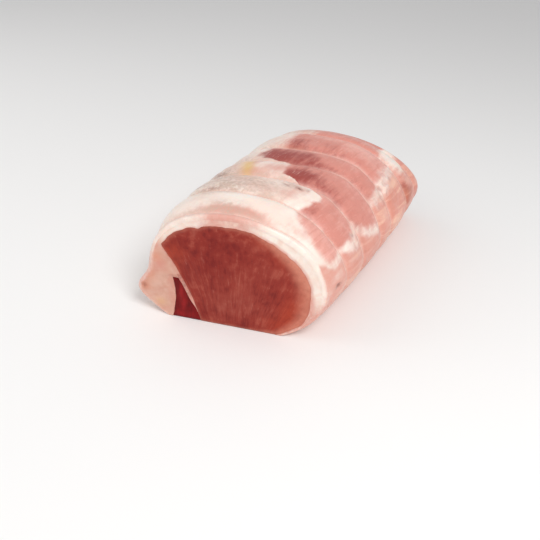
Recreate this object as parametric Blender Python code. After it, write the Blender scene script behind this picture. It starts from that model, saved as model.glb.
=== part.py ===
# A boneless pork collar roast: one large lean muscle with a small dark muscle
# beside its foot, wrapped in fat over the top and down both sides. Eight
# rounded bands run along it, with a crease between each and the next.
# The joint lies along Y with its cut face towards -Y and its underside flat.
import math

import bmesh
import bpy

# Sizes in metres. Y is measured from the middle of the cut face.
JOINT_LENGTH = 0.218
AXIS_HEIGHT = 0.033
UNDER_DEPTH = 0.042

RIGHT_AT_CUT = 0.058
RIGHT_GAIN = 0.008
RIGHT_REACH = 0.060
LEFT_AT_CUT = 0.0550
LEFT_GAIN = 0.0120
LEFT_REACH = 0.018
TOP_AT_CUT = 0.079
TOP_GAIN = 0.005
TOP_REACH = 0.020

# How square each quarter of the section is: 2 is an ellipse.
TOP_RIGHT_POWER = 1.85
TOP_LEFT_POWER_AT_CUT = 2.25
TOP_LEFT_POWER = 2.3
UNDER_RIGHT_POWER = 2.0
UNDER_LEFT_POWER = 3.0

# The far end sinks and narrows from here on, and its top leans forward.
BACK_START = 0.130
BACK_RUN = 0.080
TOP_DROP = 0.16
RIGHT_DROP = 0.05
LEFT_DROP = 0.08
BACK_LEAN = 0.38
LEAN_PIVOT = 0.025
LEAN_FOOT = 0.020
LEAN_POWER = 1.5

# The cut face is turned to the right by this much of a metre per metre.
CUT_SLANT = 0.2544
SLANT_REACH = 0.028

# The foot of the cut face stands out a little, as soft meat settles.
FOOT_OUT = 0.0025
FOOT_RISE = 0.015
FOOT_REACH = 0.020

# Near this crease the joint bends forward over the top.
BEND_AT = 0.037
BEND_FORWARD = 0.0060
BEND_REACH = 0.024

# Fat lobe low on the left of the cut face.
LOBE_OUT = 0.0085
LOBE_HEIGHT = 0.016
LOBE_SPREAD = 0.010
LOBE_REACH = 0.030
LOBE_FADE = 0.030

# Fat thickness on the right, at the foot of the right side, over the top and
# beside the muscle's upper left corner.
FAT_THICK = 0.0100
FAT_THIN = 0.0026
FAT_OVER_TOP = 0.0084
FAT_AT_CORNER = 0.0062
TOP_FROM = math.radians(40)
TOP_FULL = math.radians(80)
CORNER_FROM = math.radians(118)
CORNER_FULL = math.radians(152)
THICK_ABOVE = math.radians(2)
THIN_BELOW = math.radians(-32)

# Creases across the joint: where each one lies on the right side, and how
# much further forward it lies over the top.
CREASES = (
    (0.007, 0.0),
    (0.040, 0.004),
    (0.070, 0.010),
    (0.105, 0.021),
    (0.129, 0.014),
    (0.172, 0.016),
    (0.202, 0.006),
)
FORWARD_FROM = math.radians(40)
FORWARD_FULL = math.radians(105)
BACK_FROM = math.radians(145)
BACK_FULL = math.radians(205)
CREASE_DEPTH = 0.0032
CREASE_WIDTH = 0.0036
CREASE_POWER = 1.6
# A crease is shallower low on the right side, and the first one fades out.
SIDE_CREASE_DEPTH = 0.45
SIDE_CREASE_TO = math.radians(-10)
FULL_CREASE_FROM = math.radians(20)
FIRST_CREASE_TO = math.radians(21)
FIRST_CREASE_FULL = math.radians(70)
MOST_OF_FAT = 0.55

CUT_ROUNDING = 0.0030
BACK_ROUNDING = 0.0080
ROUNDING_STEPS = 4

# The lean muscle's left side leans and curves outwards from its foot.
MUSCLE_FOOT_X = -0.018
MUSCLE_LEAN = -0.42
MUSCLE_CURVE = -2.2
CUT_BULGE = 0.0012
BACK_BULGE = 0.0030

# The dark muscle between the large one and the lobe: its tip, its right
# shoulder, and its left side, which is hollowed at one height.
WEDGE_HEIGHT = 0.031
WEDGE_TIP_X = -0.0386
WEDGE_SHOULDER = 0.0285
WEDGE_LEFT_X = -0.0360
WEDGE_HOLLOW_HEIGHT = 0.012
WEDGE_HOLLOW = 7.0

# The thin seam of fat between the two muscles fades out above the floor.
SEAM_FAT = 0.0009
SEAM_FOOT = 0.007
SEAM_RISE = 0.009
SEAM_END = 0.011
FOOT_POINT = 0.0055

GAP = 0.0003
# A gap measured along a radius is longer than across the surface.
GROW_ALONG = 1.3
MUSCLES_APART = 0.00036

# Angles that bracket the floor on each side and the muscle's corner.
LOWEST_ANGLE = math.radians(-89)
FARTHEST_ANGLE = math.radians(269)
CORNER_LOW = math.radians(110)
CORNER_HIGH = math.radians(200)
HALVINGS = 40

SKIN_POINTS = 54
ROUND_POINTS = 24
SIDE_POINTS = 4
WEDGE_POINTS = 5
FACE_RINGS = 4
CREASE_OFFSETS = (-0.0085, -0.0030, 0.0, 0.0030, 0.0085)
END_CLEARANCE = 0.001
CORE_EVERY = 3
CORE_CLOSE = 0.045

FAT_COLOUR = (0.86, 0.66, 0.55, 1.0)
LEAN_COLOUR = (0.36, 0.055, 0.045, 1.0)
DARK_COLOUR = (0.16, 0.008, 0.012, 1.0)
FAT_ROUGHNESS = 0.42
LEAN_ROUGHNESS = 0.38
DARK_ROUGHNESS = 0.34
SHARP_EDGE = math.radians(40)


def ease(value):
    value = min(max(value, 0.0), 1.0)
    return value * value * (3.0 - 2.0 * value)


def settle(at_cut, gain, reach, y):
    # A size that starts at the cut and settles at its full value.
    return at_cut + gain * (1.0 - math.exp(-max(y, 0.0) / reach))


def back_share(y):
    return max(0.0, (y - BACK_START) / BACK_RUN)


def right_half(y):
    full = settle(RIGHT_AT_CUT, RIGHT_GAIN, RIGHT_REACH, y)
    return full * (1.0 - RIGHT_DROP * back_share(y) ** 2)


def left_half(y):
    full = settle(LEFT_AT_CUT, LEFT_GAIN, LEFT_REACH, y)
    return full * (1.0 - LEFT_DROP * back_share(y) ** 2)


def top_height(y):
    full = settle(TOP_AT_CUT, TOP_GAIN, TOP_REACH, y)
    return full * (1.0 - TOP_DROP * back_share(y) ** 2)


def power_at(y, right, upper):
    if not upper:
        return UNDER_RIGHT_POWER if right else UNDER_LEFT_POWER
    if right:
        return TOP_RIGHT_POWER
    share = ease(max(y, 0.0) / LOBE_REACH)
    return TOP_LEFT_POWER_AT_CUT + (TOP_LEFT_POWER - TOP_LEFT_POWER_AT_CUT) * share


def plain_radius(y, angle):
    # Distance of the uncreased skin from the joint's axis.
    across = math.cos(angle)
    up = math.sin(angle)
    wide = right_half(y) if across > 0.0 else left_half(y)
    tall = top_height(y) - AXIS_HEIGHT if up > 0.0 else UNDER_DEPTH
    power = power_at(y, across > 0.0, up > 0.0)
    total = (abs(across) / wide) ** power + (abs(up) / tall) ** power
    return total ** (-1.0 / power)


def fat_thickness(angle):
    share = ease((angle - THIN_BELOW) / (THICK_ABOVE - THIN_BELOW))
    thick = FAT_THIN + (FAT_THICK - FAT_THIN) * share
    top = ease((angle - TOP_FROM) / (TOP_FULL - TOP_FROM))
    corner = ease((angle - CORNER_FROM) / (CORNER_FULL - CORNER_FROM))
    thick += (FAT_OVER_TOP - FAT_THICK) * top
    return thick + (FAT_AT_CORNER - FAT_OVER_TOP) * corner


def crease_positions():
    return [crease for crease, _ in CREASES]


def forward_shift(y, angle):
    # How far forward of its row a point of the skin lies.
    over_top = ease((angle - FORWARD_FROM) / (FORWARD_FULL - FORWARD_FROM))
    past_top = ease((angle - BACK_FROM) / (BACK_FULL - BACK_FROM))
    near = (0.0, 0.0)
    for far in CREASES + ((JOINT_LENGTH, 0.0),):
        if y <= far[0]:
            share = (y - near[0]) / (far[0] - near[0])
            return (near[1] + (far[1] - near[1]) * share) * over_top * (1.0 - past_top)
        near = far
    return 0.0


def crease_inset(y, angle):
    side = ease((angle - SIDE_CREASE_TO) / (FULL_CREASE_FROM - SIDE_CREASE_TO))
    share = SIDE_CREASE_DEPTH + (1.0 - SIDE_CREASE_DEPTH) * side
    inset = 0.0
    for number, place in enumerate(crease_positions()):
        away = abs(y - place) / CREASE_WIDTH
        depth = CREASE_DEPTH * share
        if number == 0:
            faded = (angle - FIRST_CREASE_TO) / (FIRST_CREASE_FULL - FIRST_CREASE_TO)
            depth *= ease(faded)
        inset += depth / (1.0 + away ** CREASE_POWER)
    return inset


def end_inset(y):
    # The skin turns in over the rim of the cut face and over the far end.
    inset = 0.0
    for rounding, left in ((CUT_ROUNDING, y), (BACK_ROUNDING, JOINT_LENGTH - y)):
        if left < rounding:
            part = 1.0 - max(left, 0.0) / rounding
            inset += rounding * (1.0 - math.sqrt(max(0.0, 1.0 - part * part)))
    return inset


def place(y, x, z):
    # From a section of the joint to its slanted and leaning place.
    slant = CUT_SLANT * math.exp(-max(y, 0.0) / SLANT_REACH)
    lean = BACK_LEAN * back_share(y) ** LEAN_POWER
    foot = FOOT_OUT * math.exp(-z / FOOT_RISE - max(y, 0.0) / FOOT_REACH)
    rise = (z - AXIS_HEIGHT) / (TOP_AT_CUT - AXIS_HEIGHT)
    near = ((y - BEND_AT) / BEND_REACH) ** 2
    bend = BEND_FORWARD * max(rise, 0.0) * math.exp(-near)
    leaned = lean * (max(z, LEAN_FOOT) - LEAN_PIVOT)
    return (x, y + slant * x - leaned - foot - bend, z)


def skin_radius(y, angle):
    inset = crease_inset(y, angle) + end_inset(y)
    plain = plain_radius(y - forward_shift(y, angle), angle)
    return plain - min(inset, MOST_OF_FAT * fat_thickness(angle))


def skin_point(y, angle):
    radius = skin_radius(y, angle)
    x = radius * math.cos(angle)
    z = max(AXIS_HEIGHT + radius * math.sin(angle), 0.0)
    if x < 0.0:
        rise = math.exp(-((z - LOBE_HEIGHT) / LOBE_SPREAD) ** 2)
        reach = math.exp(-(y / LOBE_REACH) ** 2)
        x -= LOBE_OUT * rise * reach * ease(-x / LOBE_FADE)
    return place(y - forward_shift(y, angle), x, z)


def floor_angle(radius_at, low, high):
    # The angle at which a section meets the floor, between a low angle that
    # is under the floor and a high one that is over it.
    for _ in range(HALVINGS):
        middle = 0.5 * (low + high)
        if AXIS_HEIGHT + radius_at(middle) * math.sin(middle) < 0.0:
            low = middle
        else:
            high = middle
    return high


def skin_path(y):
    # From the floor on the right, over the top, to the floor on the left.
    def radius_at(angle):
        return skin_radius(y, angle)

    start = floor_angle(radius_at, LOWEST_ANGLE, 0.0)
    end = floor_angle(radius_at, FARTHEST_ANGLE, math.pi)
    path = []
    for step in range(SKIN_POINTS + 1):
        angle = start + (end - start) * step / SKIN_POINTS
        path.append(skin_point(y, angle))
    for foot in (0, -1):
        path[foot] = (path[foot][0], path[foot][1], 0.0)
    return path


def muscle_side(z):
    return MUSCLE_FOOT_X + MUSCLE_LEAN * z + MUSCLE_CURVE * z * z


def under_fat(y, angle):
    return plain_radius(y, angle) - fat_thickness(angle)


def corner_angle(y):
    # Where the muscle's rounded top meets its left side.
    low = CORNER_LOW
    high = CORNER_HIGH
    for _ in range(HALVINGS):
        middle = 0.5 * (low + high)
        radius = under_fat(y, middle)
        x = radius * math.cos(middle)
        z = AXIS_HEIGHT + radius * math.sin(middle)
        if x > muscle_side(z):
            low = middle
        else:
            high = middle
    return high


def core_path(y, lowest, grow=0.0):
    # From the right foot over the top to the corner, then down the left side.
    def radius_at(angle):
        return under_fat(y, angle) + grow

    start = floor_angle(radius_at, LOWEST_ANGLE, 0.0)
    corner = corner_angle(y)
    path = []
    for step in range(ROUND_POINTS + 1):
        angle = start + (corner - start) * step / ROUND_POINTS
        radius = radius_at(angle)
        z = AXIS_HEIGHT + radius * math.sin(angle)
        path.append((radius * math.cos(angle), max(z, 0.0)))
    path[0] = (path[0][0], 0.0)
    corner_x, corner_z = path[-1]
    path[-1] = (min(corner_x, muscle_side(corner_z) - grow), corner_z)
    for step in range(1, SIDE_POINTS + 1):
        z = corner_z + (lowest - corner_z) * step / SIDE_POINTS
        path.append((muscle_side(z) - grow, z))
    return path


def wedge_right(z):
    # Against the large muscle at its foot, then a thin seam of fat away.
    seam = (GAP + SEAM_FAT) * ease((z - SEAM_FOOT) / SEAM_RISE)
    return muscle_side(z) - MUSCLES_APART - seam


def wedge_left(z):
    return WEDGE_LEFT_X - WEDGE_HOLLOW * (z - WEDGE_HOLLOW_HEIGHT) ** 2


def wedge_path(grow):
    # Up the left side from the floor, over the tip and the right shoulder,
    # down to the seam's end.
    path = []
    for step in range(WEDGE_POINTS):
        z = WEDGE_HEIGHT * step / WEDGE_POINTS
        path.append((wedge_left(z) - grow, z))
    path.append((WEDGE_TIP_X - 0.5 * grow, WEDGE_HEIGHT + 1.5 * grow))
    path.append((wedge_right(WEDGE_SHOULDER) + grow, WEDGE_SHOULDER + grow))
    for step in range(1, WEDGE_POINTS + 1):
        z = WEDGE_SHOULDER + (SEAM_END - WEDGE_SHOULDER) * step / WEDGE_POINTS
        path.append((wedge_right(z) + grow, z))
    return path


def fat_ring(y):
    # Skin, then the hollow of the dark muscle, the seam between the two
    # muscles, and the hollow of the large one back to the right foot.
    inside = wedge_path(GAP) + core_path(y, SEAM_END, GAP * GROW_ALONG)[::-1]
    return skin_path(y) + [place(y, x, z) for x, z in inside]


def stations():
    # Close together at a crease and over the two rounded ends.
    places = [0.0, JOINT_LENGTH]
    for step in range(1, ROUNDING_STEPS + 1):
        turn = 0.5 * math.pi * step / ROUNDING_STEPS
        places.append(CUT_ROUNDING * (1.0 - math.cos(turn)))
        places.append(JOINT_LENGTH - BACK_ROUNDING * (1.0 - math.cos(turn)))
    for crease in crease_positions():
        places += [crease + away for away in CREASE_OFFSETS]
    bands = crease_positions()[1:] + [JOINT_LENGTH]
    places += [0.5 * (near + far) for near, far in zip(bands, bands[1:])]
    low = CUT_ROUNDING
    high = JOINT_LENGTH - BACK_ROUNDING
    ends = [p for p in places if p <= low or p >= high]
    middle = [p for p in places if low + END_CLEARANCE < p < high - END_CLEARANCE]
    return sorted(set(p for p in ends + middle if 0.0 <= p <= JOINT_LENGTH))


def new_object(name, mesh_data, colour, roughness, collection):
    mesh = bpy.data.meshes.new(name)
    bmesh.ops.recalc_face_normals(mesh_data, faces=mesh_data.faces)
    if mesh_data.calc_volume(signed=True) < 0.0:
        bmesh.ops.reverse_faces(mesh_data, faces=mesh_data.faces)
    mesh_data.to_mesh(mesh)
    mesh_data.free()
    mesh.shade_smooth()
    mesh.set_sharp_from_angle(angle=SHARP_EDGE)
    material = bpy.data.materials.new(name + "_material")
    material.use_nodes = True
    shader = material.node_tree.nodes["Principled BSDF"]
    shader.inputs["Base Color"].default_value = colour
    shader.inputs["Roughness"].default_value = roughness
    shader.inputs["Metallic"].default_value = 0.0
    mesh.materials.append(material)
    made = bpy.data.objects.new(name, mesh)
    collection.objects.link(made)
    return made


def loft(rings):
    # Quads between each ring of points and the next.
    body = bmesh.new()
    rows = [[body.verts.new(point) for point in ring] for ring in rings]
    count = len(rows[0])
    for near, far in zip(rows, rows[1:]):
        for i in range(count):
            k = (i + 1) % count
            body.faces.new((near[i], near[k], far[k], far[i]))
    return body, rows


def close_flat(body, row):
    face = body.faces.new(row)
    face.normal_update()
    bmesh.ops.triangulate(body, faces=[face])


def close_domed(body, row, end, bulge):
    # Smaller copies of the last ring, each a little further out.
    count = len(row)
    middle = place(end, 0.0, AXIS_HEIGHT)
    last = row
    for step in range(1, FACE_RINGS):
        share = 1.0 - step / FACE_RINGS
        out = bulge * (1.0 - share * share)
        inner = []
        for vert in row:
            x = middle[0] + (vert.co.x - middle[0]) * share
            y = middle[1] + (vert.co.y - middle[1]) * share + out
            z = middle[2] + (vert.co.z - middle[2]) * share
            inner.append(body.verts.new((x, y, z)))
        for i in range(count):
            k = (i + 1) % count
            body.faces.new((last[i], last[k], inner[k], inner[i]))
        last = inner
    tip = body.verts.new((middle[0], middle[1] + bulge, middle[2]))
    for i in range(count):
        body.faces.new((last[i], last[(i + 1) % count], tip))


def make_fat(places):
    body, rows = loft([fat_ring(y) for y in places])
    close_flat(body, rows[0])
    close_flat(body, rows[-1])
    return body


def make_core(places):
    rings = [[place(y, x, z) for x, z in core_path(y, 0.0)] for y in places]
    body, rows = loft(rings)
    close_domed(body, rows[0], 0.0, -CUT_BULGE)
    close_domed(body, rows[-1], JOINT_LENGTH, BACK_BULGE)
    return body


def make_wedge(places):
    foot = [(wedge_right(z), z) for z in (FOOT_POINT, 0.0)]
    path = wedge_path(0.0) + foot
    rings = [[place(y, x, z) for x, z in path] for y in places]
    body, rows = loft(rings)
    close_flat(body, rows[0])
    close_flat(body, rows[-1])
    return body


for old in list(bpy.data.objects):
    bpy.data.objects.remove(old)

roast = bpy.data.collections.new("pork_collar_roast")
bpy.context.scene.collection.children.link(roast)

every_place = stations()
few_places = [y for y in every_place if y < CORE_CLOSE]
few_places += every_place[len(few_places):-1:CORE_EVERY] + [every_place[-1]]

parts = [
    new_object("fat_cap", make_fat(every_place), FAT_COLOUR, FAT_ROUGHNESS, roast),
    new_object("eye_muscle", make_core(few_places), LEAN_COLOUR, LEAN_ROUGHNESS, roast),
    new_object("side_muscle", make_wedge(few_places), DARK_COLOUR, DARK_ROUGHNESS, roast),
]

# The origin goes to the middle of the underside of the whole.
corners = [vert.co for part in parts for vert in part.data.vertices]
middle_x = 0.5 * (min(c.x for c in corners) + max(c.x for c in corners))
middle_y = 0.5 * (min(c.y for c in corners) + max(c.y for c in corners))
for part in parts:
    for vert in part.data.vertices:
        vert.co.x -= middle_x
        vert.co.y -= middle_y
    part.data.update()
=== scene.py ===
import math

import bmesh
import bpy
from mathutils import Matrix, Vector, noise


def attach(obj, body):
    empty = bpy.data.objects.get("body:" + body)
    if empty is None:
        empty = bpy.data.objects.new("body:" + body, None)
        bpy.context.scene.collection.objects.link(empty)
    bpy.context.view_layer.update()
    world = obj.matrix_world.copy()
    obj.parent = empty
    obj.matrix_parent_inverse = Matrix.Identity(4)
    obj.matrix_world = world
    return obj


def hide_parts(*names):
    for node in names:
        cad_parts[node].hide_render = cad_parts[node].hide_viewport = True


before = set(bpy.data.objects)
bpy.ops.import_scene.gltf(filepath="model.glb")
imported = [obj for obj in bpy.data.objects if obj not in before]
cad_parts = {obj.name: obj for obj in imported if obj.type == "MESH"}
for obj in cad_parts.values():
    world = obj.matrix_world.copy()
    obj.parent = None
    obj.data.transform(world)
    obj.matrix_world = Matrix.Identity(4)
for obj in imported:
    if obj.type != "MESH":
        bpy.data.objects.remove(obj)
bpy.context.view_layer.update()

# The form of the joint, in metres and degrees. Y runs from the middle of the cut face to the far end.
form = {
    "length": 0.218, "axisHeight": 0.033, "underDepth": 0.042,
    # half widths and height: at the cut, gained further in, and over what reach
    "right": (0.058, 0.008, 0.06), "left": (0.055, 0.012, 0.018), "top": (0.079, 0.005, 0.02),
    # how full each quarter of a section is: 2 is an ellipse, more is squarer
    "topRightPower": 1.85, "topLeftPower": (2.25, 2.3), "underRightPower": 2, "underLeftPower": 3,
    # the far end draws in and leans over
    "backStart": 0.13, "backRun": 0.08, "topDrop": 0.16, "rightDrop": 0.05, "leftDrop": 0.08,
    "backLean": 0.38, "backLeanPower": 1.5, "leanPivot": 0.025, "leanFoot": 0.02,
    # the cut is slanted, its foot stands out, the first bands bend forward, a lobe hangs at its left
    "cutSlant": 0.2544, "slantReach": 0.028, "footOut": 0.0025, "footRise": 0.015, "footReach": 0.02,
    "bendAt": 0.037, "bendForward": 0.006, "bendReach": 0.024,
    "lobeOut": 0.0085, "lobeHeight": 0.016, "lobeSpread": 0.01, "lobeReach": 0.03, "lobeFrom": 0.03,
    # the fat round the large muscle, and the degrees over which it changes
    "fatThick": 0.01, "fatThin": 0.0026, "fatOverTop": 0.0084, "fatAtCorner": 0.0062,
    "thickFrom": (-32, 2), "overTopFrom": (40, 80), "atCornerFrom": (118, 152),
    # each crease: its place on the right side, and how much further forward it lies over the top
    "creases": ((0.007, 0), (0.04, 0.004), (0.07, 0.01), (0.105, 0.021), (0.129, 0.014), (0.172, 0.016),
        (0.202, 0.006)),
    "forwardOver": (40, 105), "forwardBack": (145, 205),
    "creaseDepth": 0.0032, "creaseWidth": 0.0036, "creasePower": 1.6,
    "cutRounding": 0.003, "backRounding": 0.008,
    # the left side of the large muscle, the domes of its cuts, and the small muscle beside it
    "muscleFootX": -0.018, "muscleLean": -0.42, "muscleCurve": -2.2, "cutBulge": 0.0012, "backBulge": 0.0027,
    "cornerBetween": (110, 200),
    "wedgeTip": (-0.0386, 0.031), "wedgeShoulder": 0.0285, "wedgeLeftX": -0.036, "wedgeHollow": (0.012, 7),
    "wedgeGap": 0.00036, "seamBase": 0.0003, "seamFat": 0.0009, "seamFoot": 0.007, "seamRise": 0.009,
    # waves in the edges between fat and lean: height, pace, seed
    "edgeWaves": ((0.0007, 0.075, 3.1), (0.0004, 0.23, 8.4)), "wavesAlong": 20,
    "sideWave": (0.0006, 120, 5.7), "upperWave": (0.0012, 210, 2.9), "upperWaveFrom": (0.032, 0.038),
    "wedgeWave": (0.0005, 260), "wedgeWaveEnd": (0.027, 0.031),
    "nick": (0.001, 123, 2.6, 0.01),  # depth, degrees, half width in degrees, reach
    "shift": (0.00079, -0.102247),  # brings the middle of the underside to the origin
}
scene = bpy.context.scene
halvings = 32  # steps of a search for an angle
noStart, noEnd = (-999, -998), (998, 999)  # open ends of an area


def ease(value):
    value = min(max(value, 0), 1)
    return value * value * (3 - 2 * value)


def between(value, low, high):
    return ease((value - low) / (high - low))


def within(value, begin, full, fading, gone):
    # rises from begin to full and falls again from fading to gone
    return between(value, begin, full) * (1 - between(value, fading, gone))


def bell(value, at, wide):
    return math.exp(-((value - at) / wide) ** 2)


def follow(pairs, at):
    # straight lines through a few marks
    if at <= pairs[0][0]:
        return pairs[0][1]
    for (a, b), (c, d) in zip(pairs, pairs[1:]):
        if at <= c:
            return b + (d - b) * (at - a) / (c - a)
    return pairs[-1][1]


def halve(isBefore, low, high):
    # the angle at which isBefore turns false
    for _ in range(halvings):
        middle = 0.5 * (low + high)
        if isBefore(middle):
            low = middle
        else:
            high = middle
    return high


def lumps(point, size, seed):
    # smooth unevenness from -1 to 1, with bumps of about this size in metres
    return noise.noise(Vector(point) / size + Vector((seed, seed * 1.7, seed * 0.3)))


def wobble(x, y, z):
    return noise.noise(Vector((x, y, z)))


def layered(point, waves):
    # several kinds of unevenness together: height, size of the bumps, seed
    return sum(high * lumps(point, size, seed) for high, size, seed in waves)


def hollows(point, waves):
    # the same, but from 0 up
    return sum(high * (0.5 + 0.5 * lumps(point, size, seed)) for high, size, seed in waves)


def settle(sizes, y):
    return sizes[0] + sizes[1] * (1 - math.exp(-max(y, 0) / sizes[2]))


def backShare(y):
    return max(0, (y - form["backStart"]) / form["backRun"])


def plainRadius(y, angle):
    across = math.cos(angle)
    up = math.sin(angle)
    back = backShare(y) ** 2
    if across > 0:
        wide = settle(form["right"], y) * (1 - form["rightDrop"] * back)
    else:
        wide = settle(form["left"], y) * (1 - form["leftDrop"] * back)
    if up <= 0:
        tall = form["underDepth"]
        power = form["underRightPower"] if across > 0 else form["underLeftPower"]
    else:
        tall = settle(form["top"], y) * (1 - form["topDrop"] * back) - form["axisHeight"]
        if across > 0:
            power = form["topRightPower"]
        else:
            atCut, full = form["topLeftPower"]
            power = atCut + (full - atCut) * ease(max(y, 0) / form["lobeReach"])
    return ((abs(across) / wide) ** power + (abs(up) / tall) ** power) ** (-1 / power)


def fatThickness(degrees):
    thin, thick, overTop, atCorner = (form[name] for name in ("fatThin", "fatThick", "fatOverTop", "fatAtCorner"))
    deep = thin + (thick - thin) * between(degrees, *form["thickFrom"])
    deep += (overTop - thick) * between(degrees, *form["overTopFrom"])
    return deep + (atCorner - overTop) * between(degrees, *form["atCornerFrom"])


def ragged(y, degrees):
    # the uneven line between fat and lean round the large muscle
    wave = sum(high * wobble(degrees * pace, y * form["wavesAlong"], seed) for high, pace, seed in form["edgeWaves"])
    deep, at, wide, reach = form["nick"]
    return wave - deep * bell(degrees, at, wide) * bell(y, 0, reach)


def raggedSide(y, z):
    # the same down the left side of the large muscle, more uneven above the small one
    def wave(high, pace, seed):
        return high * wobble(z * pace, y * form["wavesAlong"], seed)
    return between(z, *form["upperWaveFrom"]) * wave(*form["upperWave"]) + wave(*form["sideWave"])


def place(y, x, z):
    # a point of the plain form, moved by everything that slants, leans or bends
    slant = form["cutSlant"] * math.exp(-max(y, 0) / form["slantReach"])
    lean = form["backLean"] * backShare(y) ** form["backLeanPower"]
    lean *= max(z, form["leanFoot"]) - form["leanPivot"]
    foot = form["footOut"] * math.exp(-z / form["footRise"] - max(y, 0) / form["footReach"])
    rise = max((z - form["axisHeight"]) / (form["top"][0] - form["axisHeight"]), 0)
    bend = form["bendForward"] * rise * bell(y, form["bendAt"], form["bendReach"])
    moveX, moveY = form["shift"]
    return Vector((x + moveX, y + slant * x - lean - foot - bend + moveY, z))


def forwardShift(y, degrees):
    # how far forward of its row a point of the skin lies
    marks = ((0, 0),) + form["creases"] + ((form["length"], 0),)
    return follow(marks, y) * within(degrees, *form["forwardOver"], *form["forwardBack"])


def footAngle(radiusAt, left=False):
    # where an outline meets the floor, on its right or left side
    def isUnder(angle):
        return form["axisHeight"] + radiusAt(angle) * math.sin(angle) < 0
    if left:
        return halve(isUnder, math.radians(269), math.pi)
    return halve(isUnder, math.radians(-89), 0)


def onRay(radius, angle):
    return radius * math.cos(angle), max(form["axisHeight"] + radius * math.sin(angle), 0)


def steps(first, last, count):
    return [first + (last - first) * k / count for k in range(count + 1)]


def muscleSide(z):
    return form["muscleFootX"] + form["muscleLean"] * z + form["muscleCurve"] * z * z


def wedgeRight(z):
    seam = (form["seamBase"] + form["seamFat"]) * ease((z - form["seamFoot"]) / form["seamRise"])
    return muscleSide(z) - form["wedgeGap"] - seam


def wedgeLeft(z):
    height, hollow = form["wedgeHollow"]
    high, pace = form["wedgeWave"]
    wander = high * wobble(z * pace, 6.6, 1.2) * (1 - between(z, *form["wedgeWaveEnd"]))
    return form["wedgeLeftX"] - hollow * (z - height) ** 2 + wander


def muscleRadius(y, angle, grow):
    degrees = math.degrees(angle)
    return plainRadius(y, angle) - fatThickness(degrees) + ragged(y, degrees) + grow


def cornerAngle(y, grow):
    # where the round of the large muscle turns down into its left side
    def isRound(angle):
        radius = muscleRadius(y, angle, grow)
        return radius * math.cos(angle) > muscleSide(form["axisHeight"] + radius * math.sin(angle)) - grow
    return halve(isRound, *(math.radians(turn) for turn in form["cornerBetween"]))


def measured(outline):
    # x and z of an outline against the way along it, and its length
    far = [0]
    for (a, b), (c, d) in zip(outline, outline[1:]):
        far.append(far[-1] + math.hypot(c - a, d - b))
    xs = [(f, point[0]) for f, point in zip(far, outline)]
    zs = [(f, point[1]) for f, point in zip(far, outline)]
    return xs, zs, far[-1]


merge, tiny, sharpDegrees = 2e-6, 1e-7, 38


def newGrid(mesh, across, along, layers, spot):
    # a sheet of points, each put in its place by spot(u, v) -> place, {layer: value}
    made = bmesh.ops.create_grid(mesh, x_segments=across, y_segments=along, size=0.5)
    for vert in made["verts"]:
        where, values = spot(vert.co.x + 0.5, vert.co.y + 0.5)
        vert.co = where
        for name, value in values.items():
            vert[layers[name]] = value


def newPiece(name, mesh, material, slot, *nodes):
    bmesh.ops.remove_doubles(mesh, verts=mesh.verts, dist=merge)
    bmesh.ops.dissolve_degenerate(mesh, edges=mesh.edges, dist=tiny)
    bmesh.ops.recalc_face_normals(mesh, faces=mesh.faces)
    if mesh.calc_volume(signed=True) < 0:
        bmesh.ops.reverse_faces(mesh, faces=mesh.faces)
    data = bpy.data.meshes.new(name)
    mesh.to_mesh(data)
    mesh.free()
    data.shade_smooth()
    data.set_sharp_from_angle(angle=math.radians(sharpDegrees))
    data.materials.append(material)
    piece = bpy.data.objects.new(name, data)
    scene.collection.objects.link(piece)
    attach(piece, "root")
    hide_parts(*nodes)
    print("roast:", name, len(data.polygons), "faces")


# nodes for the materials; canvas holds the tree that is being filled
canvas = {}


def addNode(kind, inputs=None, **settings):
    made = canvas["tree"].nodes.new(kind)
    for key, value in settings.items():
        setattr(made, key, value)
    for key, value in (inputs or {}).items():
        if isinstance(value, bpy.types.NodeSocket):
            canvas["tree"].links.new(value, made.inputs[key])
        else:
            made.inputs[key].default_value = value
    return made


def newMaterial(name, settings):
    material = bpy.data.materials.new(name)
    material.use_nodes = True
    canvas["tree"] = material.node_tree
    shader = material.node_tree.nodes["Principled BSDF"]
    for key, value in settings.items():
        shader.inputs[key].default_value = value
    return material, shader


def mapped(vector, scale=(1, 1, 1), turn=(0, 0, 0)):
    turned = addNode("ShaderNodeMapping", {"Vector": vector, "Rotation": turn})
    return addNode("ShaderNodeMapping", {"Vector": turned.outputs[0], "Scale": scale}).outputs[0]


def objectPoint(scale=(1, 1, 1), turn=(0, 0, 0)):
    return mapped(addNode("ShaderNodeTexCoord").outputs["Object"], scale, turn)


def grain(point, scale, detail=3, rough=0.55, swirl=0):
    settings = {"Vector": point, "Scale": scale, "Detail": detail, "Roughness": rough, "Distortion": swirl}
    return addNode("ShaderNodeTexNoise", settings).outputs["Fac"]


def attribute(name, output="Fac"):
    return addNode("ShaderNodeAttribute", attribute_name=name).outputs[output]


def combine(operation, first, *others):
    for other in others:
        first = addNode("ShaderNodeMath", {0: first, 1: other}, operation=operation).outputs[0]
    return first


def add(*values):
    return combine("ADD", *values)


def times(*values):
    return combine("MULTIPLY", *values)


def spread(value, low, high, toLow=0, toHigh=1):
    settings = {"Value": value, "From Min": low, "From Max": high, "To Min": toLow, "To Max": toHigh}
    return addNode("ShaderNodeMapRange", settings, interpolation_type="SMOOTHSTEP").outputs["Result"]


def mixTo(share, first, second):
    return addNode("ShaderNodeMix", {0: share, 6: first, 7: second}, data_type="RGBA").outputs[2]


def over(below, name, share, tone):
    # a tone laid over another where the attribute of this name says
    return mixTo(times(attribute(name), share), below, tone)


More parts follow.
